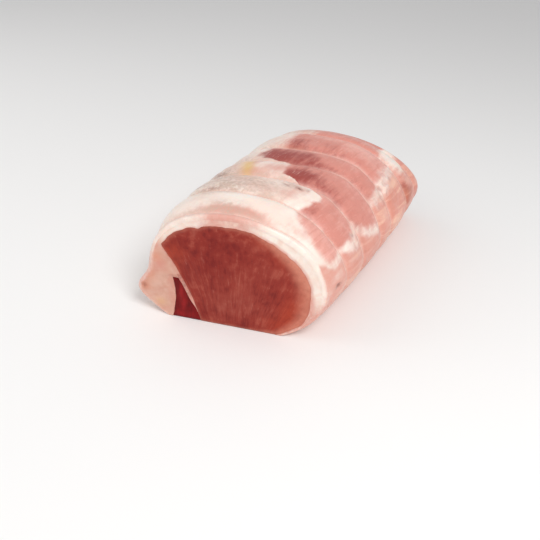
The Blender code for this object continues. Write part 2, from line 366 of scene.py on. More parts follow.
def finishWith(shader, tone, roughness, height, strength, distance):
    settings = {"Height": height, "Strength": strength, "Distance": distance}
    bump = addNode("ShaderNodeBump", settings).outputs[0]
    for name, value in (("Base Color", tone), ("Roughness", roughness), ("Normal", bump)):
        canvas["tree"].links.new(value, shader.inputs[name])


def colour(red, green, blue):
    # a colour as a screen shows it, 0 to 255, made linear
    def linear(value):
        value /= 255
        return value / 12.92 if value <= 0.04045 else ((value + 0.055) / 1.055) ** 2.4
    return (linear(red), linear(green), linear(blue), 1)


# the fat and the outer meat
skin = {
    "across": 250, "along": 264, "capRows": 16, "innerRows": 12,
    "endRows": 10, "rowSteps": 500, "rowsNear": (0.004, 1.5),  # rows stand closer together at the creases
    "overlap": 0.0003,  # how far the fat reaches under the muscles' edges
    "sideSteps": 14, "sideFoot": 0.03, "wedgeSteps": 10, "wedgeTop": 0.0288, "shoulderGap": (0.0008, 0.0002),
    # unevenness of the skin: height, size of the bumps, seed
    "hollows": ((0.0006, 0.026, 11), (0.00022, 0.008, 13), (0.0001, 0.003, 15)),
    "capHollow": ((0.00045, 0.007, 17),), "skinGap": 0.0001, "mostInset": 0.55,
    "leanStep": 0.00035, "foldRise": 0.0008, "crumpleDepth": 0.0014,
    "evenEnds": (0.004, 0.006),  # the unevenness fades towards both ends
    # creases: how they wander, pucker and weaken towards the floor
    "creaseWander": 0.0008, "wanderFrom": 0.03, "puckers": 0.00035, "puckerReach": (6, 2.2),
    "notch": 0.0003, "notchWidth": 2.4, "creaseLow": (0.45, -10, 20), "firstCrease": (21, 70),
    # how ragged the edges of all tones are, in mm along and degrees round
    "raggedAlong": ((1.3, 0.012, 3), (0.6, 0.004, 5)), "raggedRound": ((2.6, 0.013, 7), (1, 0.004, 9)),
    # the lean that shows between two edges, as marks of (mm along, degrees round)
    "leanUpper": [(0, 52), (22, 57), (38, 59), (52, 56), (57, 52), (62, 54), (65, 74), (66, 91), (83, 94),
        (86.5, 99), (88.5, 119), (92, 124), (105, 125), (111, 123), (115, 118), (135, 117), (146, 116), (156, 110),
        (168, 108), (182, 106), (200, 108), (218, 108)],
    "leanLower": [(0, 30), (8, 25), (20, 19), (58, 19), (64, 23), (70, 21), (75, 18), (90, 13), (100, 11), (104, 24),
        (108, 29), (128, 29), (134, 32), (150, 31), (165, 33), (171, 44), (180, 46), (197, 45), (206, 43), (218, 42)],
    "leanFront": [(20, 5), (32, 7), (42, 12), (50, 17), (60, 24)],  # where the lean begins, by degrees
    "upperSoft": [(40, 9), (60, 7), (84, 8), (93, 18), (218, 22)],  # how softly its upper edge fades, in degrees
    "lowerSoft": 15, "frontSoft": (5, 18),
    # low on the side: how much lean and pink show, by mm along; the extra pink low on the side is painted shade
    "sideGap": 3, "sideSoft": 7,
    "sideLean": [(0, 0.25), (8, 0.4), (30, 0.45), (60, 0.44), (85, 0.5), (110, 0.62), (140, 0.76), (165, 0.85),
        (218, 0.75)],
    "sideBlushAndShade": [(0, 0.9), (14, 1.15), (24, 1.05), (36, 1.05), (80, 0.95), (140, 0.85), (218, 0.75)],
    "depthAlong": [(8, 0.22), (40, 0.32), (58, 0.4), (72, 0.54), (85, 0.5), (104, 0.46), (118, 0.42), (134, 0.34),
        (165, 0.24), (172, 0.28), (200, 0.36)],
    # areas with soft borders: strength, mm along, degrees round
    "hiddenLean": (0.45, (45, 80, *noEnd), (150, 172, *noEnd)),
    "blushAreas": [(0.35, (40, 60, *noEnd), (55, 80, 120, 140)), (0.45, (150, 175, *noEnd), (60, 90, *noEnd)),
        (0.3, noStart + noEnd, (150, 180, *noEnd)), (0.3, (55, 75, 160, 175), (*noStart, 38, 54))],
    "foldArea": (1, (50, 62, 165, 185), (2, 12, 42, 54)),  # where folds of fat stand up
    "paleOverLean": 0.92, "paleOverBlush": (0.75, 0.2), "endBlush": (160, 175), "endSide": (150, 175),
    # the rim at the cut: where it ends, how it fades and how pink it is, by degrees round
    "rimEnd": (-0.5, 3, 5.5), "rimFade": (2.5, 4), "rimTurns": ((14, 36), (36, 60)), "rimOverLean": 0.8,
    "rimBlush": [(-14, 1.05), (-6, 0.55), (2, 0.08), (58, 0.05), (70, 0.42), (86, 1.05), (108, 1.1), (120, 0.5),
        (126, 0.28), (140, 0.12), (150, 0.15), (165, 0.5), (180, 0.8)],
    # painted shade and painted highlights beside a crease: shares and reaches in mm, the highlighted lips with their
    # place too
    "creaseReach": 24, "shades": ((0.55, 4.5), (0.45, 15)), "highlightLips": ((0.65, -0.5, 1.2), (0.4, -1.8, 3)),
    "shadeLineWidth": 0.7, "duskReach": 4, "duskFrom": (20, 30), "firstDusk": (0.75, 0.6, 2.4),
    "duskShare": 0.95, "duskTop": (58, 76),
    # spots of a tone: mm along, degrees round, the two half sizes, strength; some deep, pink and grey spots are
    # painted shade in and behind the creases, and some grey ones painted shade towards the left
    "deepAndShadeSpots": [(60, 8, 14, 5, 0.25), (95, 5, 12, 5, 0.25), (140, 16, 14, 6, 0.2), (67, 85, 6, 7, 0.4),
        (73, 80, 7, 9, 0.45), (77, 68, 9, 16, 0.3), (94, 114, 9, 15, 0.75), (102, 90, 10, 18, 0.5),
        (105, 118, 6, 7, 0.25), (126, 108, 10, 9, 0.5), (132, 84, 8, 14, 0.35), (48, 52, 8, 7, 0.32),
        (140, 112, 4, 5, 0.3), (173, 90, 4, 5, 0.3), (115, 38, 8, 6, 0.1), (178, 7, 5, 1.6, 0.6),
        (175, 8, 16, 9, 0.92), (186, 60, 10, 10, -0.15), (92, 50, 6, 9, -0.1), (106, 60, 4, 20, -0.1),
        (88, 80, 8, 14, 0.2), (71, 32, 7, 7, -0.2), (117, 12, 14, 7, -0.45), (63, 57, 5, 7, -0.25),
        (150, 60, 20, 20, -0.12)],
    "paleSpots": [(76, 105, 7, 10, 0.75), (188, 38, 16, 9, 1.5), (186, 27, 12, 7, 0.45), (207, 40, 8, 6, 0.9),
        (69, 25, 5, 4, 0.4), (80, 18, 9, 4, 0.35), (94, 12, 8, 3.5, 0.2), (112, 24, 9, 5, 0.55),
        (129, 25, 8, 6, 1.2), (155, 34, 14, 6, 0.5), (138, 30, 9, 7, 0.65), (30, 16, 12, 2.6, 0.35),
        (20, 9, 9, 2, 0.35), (46, 19, 8, 2.6, 0.4), (60, 15, 8, 2.6, 0.4), (50, 9, 12, 1.8, 0.25),
        (66, 15, 9, 6, 0.4)],
    "pinkAndShadeSpots": [(9, 100, 5.5, 24, 1), (7.5, 97, 3, 20, 1.1), (10, 76, 4.5, 16, 0.25), (15, 46, 6, 10, 0.5),
        (48, 74, 7, 7, 0.55), (44, 95, 6, 14, 0.55), (57, 68, 5, 7, 0.4), (73, 102, 6, 10, 1),
        (62, 118, 5, 6, 0.7), (72, 135, 8, 8, 0.3), (50, 115, 9, 9, 0.35)],
    "greyAndShadeSpots": [(14, 104, 6, 15, 0.6), (8, 98, 3.5, 20, 0.75), (62, 136, 7, 9, 0.7), (46, 140, 8, 9, 0.55),
        (70, 150, 8, 6, 0.6), (20, 20, 7, 6, 0.35), (52, 106, 8, 10, 0.45), (47, 93, 8, 16, 0.75),
        (57, 78, 5, 8, 0.65), (4, 126, 5, 9, 0.4), (42, 118, 9, 12, 1), (54, 128, 8, 10, 0.8),
        (33, 114, 5, 10, 0.4), (28, 128, 9, 9, 0.45), (72, 138, 7, 8, 0.45), (90, 137, 8, 7, 0.3),
        (121, 134, 9, 7, 0.22), (100, 26, 7, 2.5, 0.25)],
    "fleck": [(64, 141, 2.5, 5, 0.5), (70, 146, 5, 3, 0.45), (44, 143, 1.5, 6, 0.35), (38, 130, 1.4, 8, 0.35),
        (56, 71, 1.5, 3, 0.9), (54, 80, 1.2, 2.5, 0.6), (59, 65, 1.6, 1.6, 0.5), (57, 137, 3, 4, 0.4),
        (74, 149, 4, 4, 0.35), (21, 2.5, 5.5, 1.2, 0.85), (61, 21, 1.5, 1.2, 0.6), (130, 27, 1.8, 1.6, 0.45),
        (150, 28, 2.5, 1.5, 0.4)],
    "stain": [(58, 117, 4, 3.4, 0.55), (66, 119, 5, 4.2, 0.9), (73, 123, 6, 4.4, 1), (80, 129, 5, 3.4, 0.7)],
    "violet": [(75, 119, 4, 2.5, 0.8), (81, 116, 4, 2, 0.5)],
    "orange": [(65, 110, 3, 8, 0.55), (170, 165, 3, 20, 0.3), (200, 12, 4, 4, 0.4), (175, 7, 13, 6, 0.65),
        (116, 112, 2.5, 14, 0.35)],
    # small pits: the same, with a depth
    "pits": [(64, 141, 2.5, 6, 0.001), (57, 134, 2, 5, 0.0008), (70, 147, 5, 2.5, 0.0009),
        (60, 22, 1.6, 1.6, 0.001), (130, 27, 2, 1.8, 0.0008), (64, 72, 2, 3, 0.0006), (21, 3, 3, 1.5, 0.001)],
    # on the cut edge, by mm across and up
    "cutOrange": [(-48, 42, 3.5, 3.5, 0.7), (-52, 28, 3, 4.5, 0.6), (-56, 19, 3.4, 3.4, 1.1)],
    "cutBrown": [(-56, 19, 2.3, 2.3, 0.5)],
    "cutPink": [(-46, 36, 4, 5, 0.6), (-47, 50, 5, 4, 0.6), (-51, 33, 3, 4, 0.3)],
    "cutYellow": [(-45, 9, 3.5, 3, 0.35)],
    "lobeFrom": (150, 164), "lobeRagged": ((4, 0.006, 19),), "innerBlush": 0.4,
    # beside the lean, by degrees: its strength, and where across the fat it starts
    "innerPink": [(-8, 1), (6, 0.8), (50, 0.9), (75, 0.75), (90, 0.95), (115, 0.9), (135, 0.55), (270, 0.45)],
    "innerReach": [(-20, 0.05), (-8, 0.2), (4, 0.7), (30, 0.66), (60, 0.62), (80, 0.5), (115, 0.45), (135, 0.72),
        (270, 0.72)],
}


def spots(marks, across, up):
    total = 0
    for x, y, wide, tall, strength in marks:
        far = ((across - x) / wide) ** 2 + ((up - y) / tall) ** 2
        if far < 9:
            total += strength * math.exp(-far)
    return total


def fullSpots(settings, names, across, up):
    return {name: min(spots(settings[name], across, up), 1) for name in names}


def area(border, mm, degrees):
    strength, along, around = border
    return strength * within(mm, *along) * within(degrees, *around)


def creasesAt(y, angle):
    # each crease near a place: how far past it this is, in metres, and its strength here
    least, low, high = skin["creaseLow"]
    for number, (at, forward) in enumerate(form["creases"]):
        wander = skin["creaseWander"] * wobble(angle * 2.4, number * 5.3, 0)
        share = least + (1 - least) * between(math.degrees(angle), low, high)
        if number == 0:
            share *= between(math.degrees(angle), *skin["firstCrease"])
        yield number, y - at - wander * ease(at / skin["wanderFrom"]), share


def skinInset(y, angle):
    # how far the skin lies under the plain form: creases and rounded ends
    inset = 0
    puckersEnd, puckersWide = skin["puckerReach"]
    for number, past, share in creasesAt(y, angle):
        away = abs(past) / form["creaseWidth"]
        inset += form["creaseDepth"] * share / (1 + away ** form["creasePower"])
        if away < puckersEnd:
            puckers = wobble(angle * 26, number * 3.1, y * 55)
            inset += skin["puckers"] * share * (0.5 + 0.5 * puckers) * bell(away, 0, puckersWide)
            inset += skin["notch"] * share * math.exp(-(away * skin["notchWidth"]) ** 2)
    for rounding, left in ((form["cutRounding"], y), (form["backRounding"], form["length"] - y)):
        if left < rounding:
            part = 1 - max(left, 0) / rounding
            inset += rounding * (1 - math.sqrt(max(0, 1 - part * part)))
    return min(inset, skin["mostInset"] * fatThickness(math.degrees(angle)))


def rimShare(mm, degrees):
    # how much a place of the skin belongs to the rim of the cut
    atFoot, atSide, atTop = skin["rimEnd"]
    narrow, wide = skin["rimFade"]
    rising, beyond = (between(degrees, *turns) for turns in skin["rimTurns"])
    end = atFoot + (atSide - atFoot) * rising + (atTop - atSide) * beyond
    return 1 - between(mm, end, end + narrow + (wide - narrow) * rising)


def creaseTones(row, angle, plainMm):
    # painted shadow behind a crease, a painted highlight on the pale lip before it, a painted dark line along it, and
    # a painted grey shade over the top
    shade = lip = creaseShadeLine = dusk = 0
    for number, past, share in creasesAt(row, angle):
        past *= 1000
        if abs(past) > skin["creaseReach"]:
            continue
        if past > 0:
            shade += share * sum(part * math.exp(-past / reach) for part, reach in skin["shades"])
            dusk += share * math.exp(-past / skin["duskReach"]) * between(plainMm, *skin["duskFrom"])
        if number == 0:
            strength, at, reach = skin["firstDusk"]
            dusk += strength * share * math.exp(-abs(past - at) / reach)
        lip += share * sum(part * bell(past, at, wide) for part, at, wide in skin["highlightLips"])
        creaseShadeLine += share * bell(past, 0, skin["shadeLineWidth"])
    return min(shade, 1), min(lip, 1), min(creaseShadeLine, 1), dusk


def skinTones(row, angle, where):
    # the tones of the skin at a place, with soft and ragged edges
    plainDegrees = math.degrees(angle)
    plainMm = (row - forwardShift(row, plainDegrees)) * 1000
    raggedMm, raggedTurn = layered(where, skin["raggedAlong"]), layered(where, skin["raggedRound"])
    mm, degrees = plainMm + raggedMm, plainDegrees + raggedTurn
    upper, lower = follow(skin["leanUpper"], mm), follow(skin["leanLower"], mm)
    before, after = skin["frontSoft"]
    front = follow(skin["leanFront"], degrees)
    lean = ease((upper - degrees) / follow(skin["upperSoft"], mm) + 0.5)
    lean *= ease((degrees - lower) / skin["lowerSoft"] + 0.5) * between(mm, front - before, front + after)
    below = ease((lower - skin["sideGap"] - degrees) / skin["sideSoft"] + 0.5)
    hidden = area(skin["hiddenLean"], mm, degrees) * (1 + lumps(where, 0.022, 21))
    pale = min(spots(skin["paleSpots"], mm, degrees), 1)
    lean = max(lean, below * follow(skin["sideLean"], mm), hidden) * (1 - skin["paleOverLean"] * pale)
    rim = rimShare(plainMm, plainDegrees)

    blush = below * follow(skin["sideBlushAndShade"], mm)
    blush += spots(skin["pinkAndShadeSpots"], plainMm + 0.5 * raggedMm, plainDegrees + 0.5 * raggedTurn)
    blush += sum(area(border, mm, degrees) for border in skin["blushAreas"])
    cleared, clearedAtEnd = skin["paleOverBlush"]
    blush *= 1 - (cleared + clearedAtEnd * between(mm, *skin["endBlush"])) * pale
    blush += (follow(skin["rimBlush"], plainDegrees) - blush) * rim

    folds = area(skin["foldArea"], mm, degrees)
    standing = min(1.3 * pale + 0.25 * lumps(where, 0.005, 23), 1)
    shade, lip, creaseShadeLine, dusk = creaseTones(row, angle, plainMm)
    # the grey tone, with painted grey shade added at the first crease and just behind the others over the top
    grey = spots(skin["greyAndShadeSpots"], mm, degrees)
    grey += skin["duskShare"] * dusk * between(degrees, *skin["duskTop"])
    return {
        "lean": lean * (1 - skin["rimOverLean"] * rim),
        "deep": follow(skin["depthAlong"], mm) + spots(skin["deepAndShadeSpots"], mm, degrees),
        "blush": blush, "shade": shade, "lip": lip, "crease": creaseShadeLine, "grey": min(grey, 1),
        "fold": 1 - folds * (1 - standing), "crumple": folds * pale * ease(0.5 + 1.6 * lumps(where, 0.0052, 25)),
        "side": below * (1 - 0.6 * between(mm, *skin["endSide"])),
        **fullSpots(skin, ("fleck",), plainMm + 0.4 * raggedMm, plainDegrees + 0.4 * raggedTurn),
        **fullSpots(skin, ("stain", "violet"), plainMm, plainDegrees), **fullSpots(skin, ("orange",), mm, degrees),
    }


def skinRadius(y, angle):
    return plainRadius(y - forwardShift(y, math.degrees(angle)), angle) - skinInset(y, angle)


def skinRow(y):
    def creased(angle):
        return skinRadius(y, angle) - skin["skinGap"]
    return footAngle(creased), footAngle(creased, left=True)


def skinPlace(y, angle):
    # the skin with its unevenness, all of it inwards of the plain form
    radius = skinRadius(y, angle)
    at = y - forwardShift(y, math.degrees(angle))
    x = radius * math.cos(angle)
    z = form["axisHeight"] + radius * math.sin(angle)
    if x < 0:
        lobe = bell(z, form["lobeHeight"], form["lobeSpread"]) * bell(y, 0, form["lobeReach"])
        x -= form["lobeOut"] * lobe * ease(-x / form["lobeFrom"])
    where = place(at, x, max(z, 0))
    tones = skinTones(y, angle, where)
    under = hollows(where, skin["hollows"]) + skin["leanStep"] * tones["lean"]
    under += skin["foldRise"] * (1 - tones["fold"]) + skin["crumpleDepth"] * tones["crumple"]
    under += spots(skin["pits"], at * 1000, math.degrees(angle))
    fromCut, fromBack = skin["evenEnds"]
    under = skin["skinGap"] + under * ease(y / fromCut) * ease((form["length"] - y) / fromBack)
    x -= under * math.cos(angle)
    z -= under * math.sin(angle)
    return place(at, x, max(z, 0)), tones


def innerPath(y, count, first, last):
    # the fat's inner side, its points matched to the skin's by angle
    grow = -skin["overlap"]

    def radiusAt(angle):
        return muscleRadius(y, angle, grow)

    corner = cornerAngle(y, 0)
    heights = steps(onRay(radiusAt(corner), corner)[1], skin["sideFoot"], skin["sideSteps"])
    turns = [(muscleSide(z) + raggedSide(y, z) - grow, z) for z in heights]
    gap, above = skin["shoulderGap"]
    turns.append((wedgeRight(form["wedgeShoulder"]) - gap, form["wedgeShoulder"] + above))
    turns.append((form["wedgeTip"][0] - 0.5 * grow, form["wedgeTip"][1] + grow))
    turns += [(wedgeLeft(z) - grow, z) for z in steps(skin["wedgeTop"], 0, skin["wedgeSteps"])]
    alongX, alongZ, length = measured(turns)
    start = footAngle(radiusAt)
    path = []
    for angle in steps(first, last, count):
        if angle < corner:
            angle = start + (corner - start) * (angle - first) / (corner - first)
            path.append(onRay(radiusAt(angle), angle))
        else:
            along = length * (angle - corner) / (last - corner)
            path.append((follow(alongX, along), max(follow(alongZ, along), 0)))
    return path


def rowPlaces():
    # rows along the joint, closer together at the creases and the rounded ends
    turns = skin["endRows"]
    near, closer = skin["rowsNear"]
    ends = [1 - math.cos(0.5 * math.pi * k / turns) for k in range(turns)]
    low, high = form["cutRounding"], form["length"] - form["backRounding"]
    far = [(0, low)]
    for y in steps(low, high, skin["rowSteps"])[1:]:
        far.append((far[-1][0] + 1 + closer * sum(bell(y, at, near) for at, forward in form["creases"]), y))
    middle = [follow(far, at) for at in steps(0, far[-1][0], skin["along"] - 2 * turns)]
    back = [form["length"] - form["backRounding"] * end for end in reversed(ends)]
    return [form["cutRounding"] * end for end in ends] + middle + back


def makeFatCap():
    mesh = bmesh.new()
    names = "lean deep blush shade lip grey fleck stain violet orange crease fold crumple side cut lobe pink"
    layers = {name: mesh.verts.layers.float.new(name) for name in names.split()}
    across, along, deep = skin["across"], skin["along"], skin["innerRows"]
    rows = [(y, *skinRow(y)) for y in rowPlaces()]
    innerRows = steps(0, form["length"], deep)
    inner = {}

    def outer(u, v):
        y, first, last = rows[round(v * along)]
        return skinPlace(y, first + (last - first) * u)

    def innerAt(y, column):
        if y not in inner:
            inner[y] = innerPath(y, across, *skinRow(y))
        return inner[y][column]

    def edgeTones(where, degrees, v, near):
        mmX, mmZ = (where.x - form["shift"][0]) * 1000, where.z * 1000
        beside = follow(skin["innerPink"], degrees) * between(v, follow(skin["innerReach"], degrees), 1)
        return {
            "cut": between(v, 0, 0.12),
            "lobe": between(degrees + layered(where, skin["lobeRagged"]), *skin["lobeFrom"]),
            "orange": near * spots(skin["cutOrange"], mmX, mmZ),
            "fleck": near * spots(skin["cutBrown"], mmX, mmZ),
            "pink": near * min(spots(skin["cutPink"], mmX, mmZ), 1) + beside,
            "stain": near * spots(skin["cutYellow"], mmX, mmZ),
        }

    def inside(u, v):
        y = innerRows[round(v * deep)]
        where = place(y, *innerAt(y, round(u * across)))
        first, last = rows[0][1:]
        tones = edgeTones(where, math.degrees(first + (last - first) * u), 1, 1 - between(v, 0, 0.2))
        return where, {**tones, "blush": skin["innerBlush"]}

    def cap(y, outwards):
        row = rows[0] if y == 0 else rows[-1]

        def spot(u, v):
            angle = row[1] + (row[2] - row[1]) * u
            rim, tones = skinPlace(y, angle)
            where = rim.lerp(place(y, *innerAt(y, round(u * across))), v)
            inward = ease(v * 5) * ease((1 - v) * 6)
            where.y += outwards * inward * hollows(where, skin["capHollow"])
            blush = tones["blush"] + (skin["innerBlush"] - tones["blush"]) * between(v, 0.6, 1)
            return where, {**edgeTones(where, math.degrees(angle), v, max(outwards, 0)), "blush": blush}
        return spot

    newGrid(mesh, across, along, layers, outer)
    newGrid(mesh, across, deep, layers, inside)
    newGrid(mesh, across, skin["capRows"], layers, cap(0, 1))
    newGrid(mesh, across, skin["capRows"], layers, cap(form["length"], -1))
    bmesh.ops.remove_doubles(mesh, verts=mesh.verts, dist=merge)
    openEdges = [edge for edge in mesh.edges if edge.is_boundary]
    filled = bmesh.ops.holes_fill(mesh, edges=openEdges, sides=0)["faces"]
    for face in filled:
        face.normal_update()
    bmesh.ops.triangulate(mesh, faces=filled)
    return mesh


fatLook = {
    "shader": {"Coat Weight": 0.16, "Coat Roughness": 0.3, "Coat IOR": 1.4, "Specular IOR Level": 0.42,
               "Subsurface Weight": 0.16, "Subsurface Scale": 0.004, "Subsurface Radius": (1, 0.45, 0.3)},
    "alongScale": (1, 0.13, 1), "alongTurn": (0, 0, math.radians(4)), "acrossScale": (0.35, 1, 0.35),
    # grains: scale, detail, roughness, distortion
    "broad": (38, 3), "mottle": (120, 4, 0.6, 0.4), "fine": (480, 3, 0.6),
    "streak": (330, 4, 0.6, 0.6), "thinStreak": (900, 3, 0.6, 0.3), "ripple": (260, 3, 0.55, 0.8),
    "bands": (120, 3, 0.6, 0.8),
    # colours: the dent and crease tones are painted shade, the lip and peach tones painted highlights, and the grey
    # tone partly painted shade
    "white": colour(250, 237, 226), "cream": colour(245, 224, 211), "pink": colour(220, 158, 143),
    "grey": colour(200, 172, 156), "salmon": colour(241, 180, 166), "lean": colour(216, 142, 128),
    "deepLean": colour(158, 70, 62), "veil": colour(238, 192, 178), "sideLean": colour(229, 150, 126),
    "peachHighlight": colour(251, 208, 182), "dentShade": colour(206, 146, 134), "crease": colour(184, 112, 100),
    "lip": colour(247, 212, 198), "violet": colour(204, 124, 132), "lobe": colour(222, 176, 156),
    "deepLobe": colour(212, 158, 138), "rim": colour(244, 216, 200), "cutPink": colour(219, 142, 126),
    "orange": colour(224, 138, 104), "stain": colour(228, 186, 112), "fleck": colour(124, 66, 58),
}


def fatMaterial():
    look = fatLook
    material, shader = newMaterial("collarFat", look["shader"])
    still, acrossJoint = objectPoint(), objectPoint(look["acrossScale"])
    alongJoint = objectPoint(look["alongScale"], look["alongTurn"])
    broad, mottle, fine = (grain(still, *look[name]) for name in ("broad", "mottle", "fine"))
    streak, thinStreak, bands = (grain(alongJoint, *look[name]) for name in ("streak", "thinStreak", "bands"))
    ripple = grain(acrossJoint, *look["ripple"])
    shade = attribute("shade")

    # white and cream fat, pinker where the flesh lies close under it, and pinker as painted shade behind the creases,
    # at the first crease and low on the side
    fat = mixTo(spread(broad, 0.35, 0.68), look["white"], look["cream"])
    pinkShare = add(attribute("blush"), spread(mottle, 0.3, 0.8, -0.09, 0.14),
                    times(shade, 0.25), spread(streak, 0.3, 0.7, -0.1, 0.1))
    fat = mixTo(spread(pinkShare, 0, 1.25), fat, look["pink"])
    # grey speckle of the fat, which also carries painted grey shade in the creases and on the left
    speckle = add(times(ripple, 0.45), times(fine, 0.55))
    fat = over(fat, "grey", spread(speckle, 0.36, 0.62, 0.3, 1), look["grey"])

    # lean: salmon to deep red, with streaks along the joint and a thin white veil, and deeper red as painted shade
    # behind each crease
    deepShare = add(attribute("deep"), spread(streak, 0.25, 0.75, -0.13, 0.13),
                    spread(mottle, 0.25, 0.75, -0.07, 0.07), times(shade, 0.52))
    lean = mixTo(spread(deepShare, 0, 0.62), look["salmon"], look["lean"])
    lean = mixTo(spread(deepShare, 0.62, 1.3), lean, look["deepLean"])
    veil = times(spread(thinStreak, 0.54, 0.76), spread(broad, 0.35, 0.65, 0.1, 0.45))
    lean = mixTo(veil, lean, look["veil"])
    lean = over(lean, "side", 0.4, look["sideLean"])
    # painted peach highlights in streaks on the low side
    lean = over(lean, "side", spread(bands, 0.44, 0.64, 0, 0.75), look["peachHighlight"])
    edge = add(attribute("lean"), spread(mottle, 0.25, 0.75, -0.11, 0.11),
               spread(streak, 0.25, 0.75, -0.08, 0.08))
    outside = mixTo(spread(edge, 0.06, 0.92), fat, lean)
    # painted shade in the hollows of the crumpled folds
    outside = over(outside, "crumple", spread(mottle, 0.3, 0.65, 0.25, 0.75), look["dentShade"])

    # the creases: brown-pink painted shade at the bottom, a painted highlight on the pale lip where the next band
    # starts
    creaseShadeShare = times(spread(mottle, 0.3, 0.7, 0.3, 0.75), spread(attribute("lean"), 0.2, 0.9, 1, 0.15))
    for name, share in (("crease", creaseShadeShare), ("lip", spread(mottle, 0.3, 0.65, 0.45, 1)), ("violet", 0.7)):
        outside = over(outside, name, share, look[name])

    # the cut edge of the fat: creamy, peach on the lobe, pink beside the lean
    lobeTone = mixTo(spread(mottle, 0.3, 0.7), look["lobe"], look["deepLobe"])
    rimTone = mixTo(spread(ripple, 0.35, 0.75), fat, look["rim"])
    cutTone = mixTo(attribute("lobe"), rimTone, lobeTone)
    cutTone = over(cutTone, "pink", spread(mottle, 0.25, 0.7, 0.45, 1), look["cutPink"])
    tone = mixTo(attribute("cut"), outside, cutTone)
    for name, share in (("orange", 0.6), ("stain", 0.8), ("fleck", spread(fine, 0.3, 0.6, 0.4, 1))):
        tone = over(tone, name, share, look[name])
    height = add(times(mottle, 0.9), times(fine, 0.22), times(streak, 0.55))
    finishWith(shader, tone, spread(mottle, 0.25, 0.75, 0.36, 0.56), height, 0.55, 0.0006)
    return material


fatFinish = fatMaterial()
newPiece("fatSkin", makeFatCap(), fatFinish, "fat", "fat_cap")


# the large lean muscle
leanMuscle = {
    "around": 264, "cutRows": 84, "innerRows": 10, "backRows": 40, "overlap": 0.0003,
    "roundSteps": 96, "sideSteps": 30, "floorSteps": 40, "sideWaveFrom": 0.01,
    "rimDip": 0.0004, "rimWide": 0.05, "fibreRelief": 0.00012, "waves": ((0.0006, 0.016, 31),),
    "middle": (0, form["axisHeight"]), "cutBulge": form["cutBulge"], "backBulge": form["backBulge"],
    "fanAt": (0.004, -0.05), "fanTurn": 0.088,  # where the fibres of the cut spread from, in metres
    # tones of the cut, by mm across and up, the two half sizes, strength
    "dark": [(-33, 55, 8, 5, 0.6), (-15, 42, 8, 12, 0.6), (-8, 60, 10, 7, 0.6), (4, 54, 7, 9, 0.35),
        (-29, 31, 4, 6, 0.45), (-19, 4, 6, 5, 0.55), (-2, 40, 6, 8, 0.25), (24, 36, 7, 8, 0.2), (0, 0, 30, 1.6, 0.9)],
    "warm": [(-38, 48, 7, 7, 0.85), (-34, 40, 3, 6, 0.4), (38, 17, 8, 12, 0.85), (30, 7, 9, 6, 0.55),
        (43, 44, 6, 10, 0.6), (33, 55, 9, 6, 0.55), (20, 63, 10, 4, 0.4), (45, 30, 4, 9, 0.35)],
    # the broad pale spot low in the middle of the cut is a painted soft sheen
    "pale": [(6, 20, 15, 15, 0.75), (20, 46, 10, 7, 0.3), (-9, 12, 9, 10, 0.45), (16, 60, 10, 4, 0.35),
        (-24, 64, 1.6, 3, 1), (24, 16, 6, 8, 0.3), (40, 42, 3.5, 9, 0.45)],
    # the paler rim, by degrees round: how far in it fades, and its strength
    "rimFade": [(-60, 0.07), (-35, 0.17), (-12, 0.25), (12, 0.27), (45, 0.2), (70, 0.12), (110, 0.09)],
    "softRim": [(-60, 0.45), (-40, 0.8), (-20, 0.95), (-5, 0.8), (12, 1.2), (45, 1.05), (70, 0.6), (110, 0.4),
        (170, 0.35), (400, 0.35)],
}


def evenRing(outline, count):
    # points at even distances along an outline
    xs, zs, length = measured(outline)
    return [(follow(xs, along), follow(zs, along)) for along in steps(0, length, count)]


def muscleRing(y, count, grow):
    # right foot, over the top, down the left side, back along the floor
    def radiusAt(angle):
        return muscleRadius(y, angle, grow)
    start, corner = footAngle(radiusAt), cornerAngle(y, grow)
    outline = [onRay(radiusAt(angle), angle) for angle in steps(start, corner, leanMuscle["roundSteps"])]
    downs = steps(outline[-1][1], 0, leanMuscle["sideSteps"])[1:]
    outline += [(muscleSide(z) + raggedSide(y, z) * ease(z / leanMuscle["sideWaveFrom"]) - grow, z) for z in downs]
    outline += [(x, 0) for x in steps(outline[-1][0], outline[0][0], leanMuscle["floorSteps"])[1:]]
    return evenRing(outline, count)


def cutTones(settings, x, z, rim):
    mmX, mmZ = x * 1000, z * 1000
    fanX, fanZ = settings["fanAt"]
    turn = math.atan2(x - fanX, z - fanZ)
    reach = math.hypot(x - fanX, z - fanZ)
    degrees = math.degrees(math.atan2(z - form["axisHeight"], x))
    if degrees < -90:
        degrees += 360
    return {
        "fibre": Vector((turn * settings["fanTurn"], reach, 0)),
        "fan": 1 - 0.75 * between(mmZ, 36, 60), "rim": rim * follow(settings["softRim"], degrees),
        **fullSpots(settings, ("dark", "warm", "pale"), mmX, mmZ),
    }


def domedCap(ring, y, outwards, bulge, settings):
    # rings of points from the rim of a muscle to the middle of its cut
    middle = settings["middle"]
    centre = place(y, *middle)

    def spot(u, v):
        x, z = ring[round(u * (len(ring) - 1)) % (len(ring) - 1)]
        share = 1 - v
        where = centre.lerp(place(y, x, z), share)
        dip = settings["rimDip"] * (1 - ease(v / settings["rimWide"]))
        fibres = settings["fibreRelief"] * lumps((where.x + where.z * 0.3, 0, where.z * 0.16), 0.0016, 33)
        inward = dip + (hollows(where, settings["waves"]) + fibres + settings["fibreRelief"]) * ease(v / 0.08)
        where.y -= outwards * (inward - bulge * (1 - share * share))
        x, z = middle[0] + (x - middle[0]) * share, middle[1] + (z - middle[1]) * share
        fade = follow(settings["rimFade"], math.degrees(math.atan2(z - form["axisHeight"], x)))
        return where, cutTones(settings, x, z, 1 - between(v, 0, fade))
    return spot


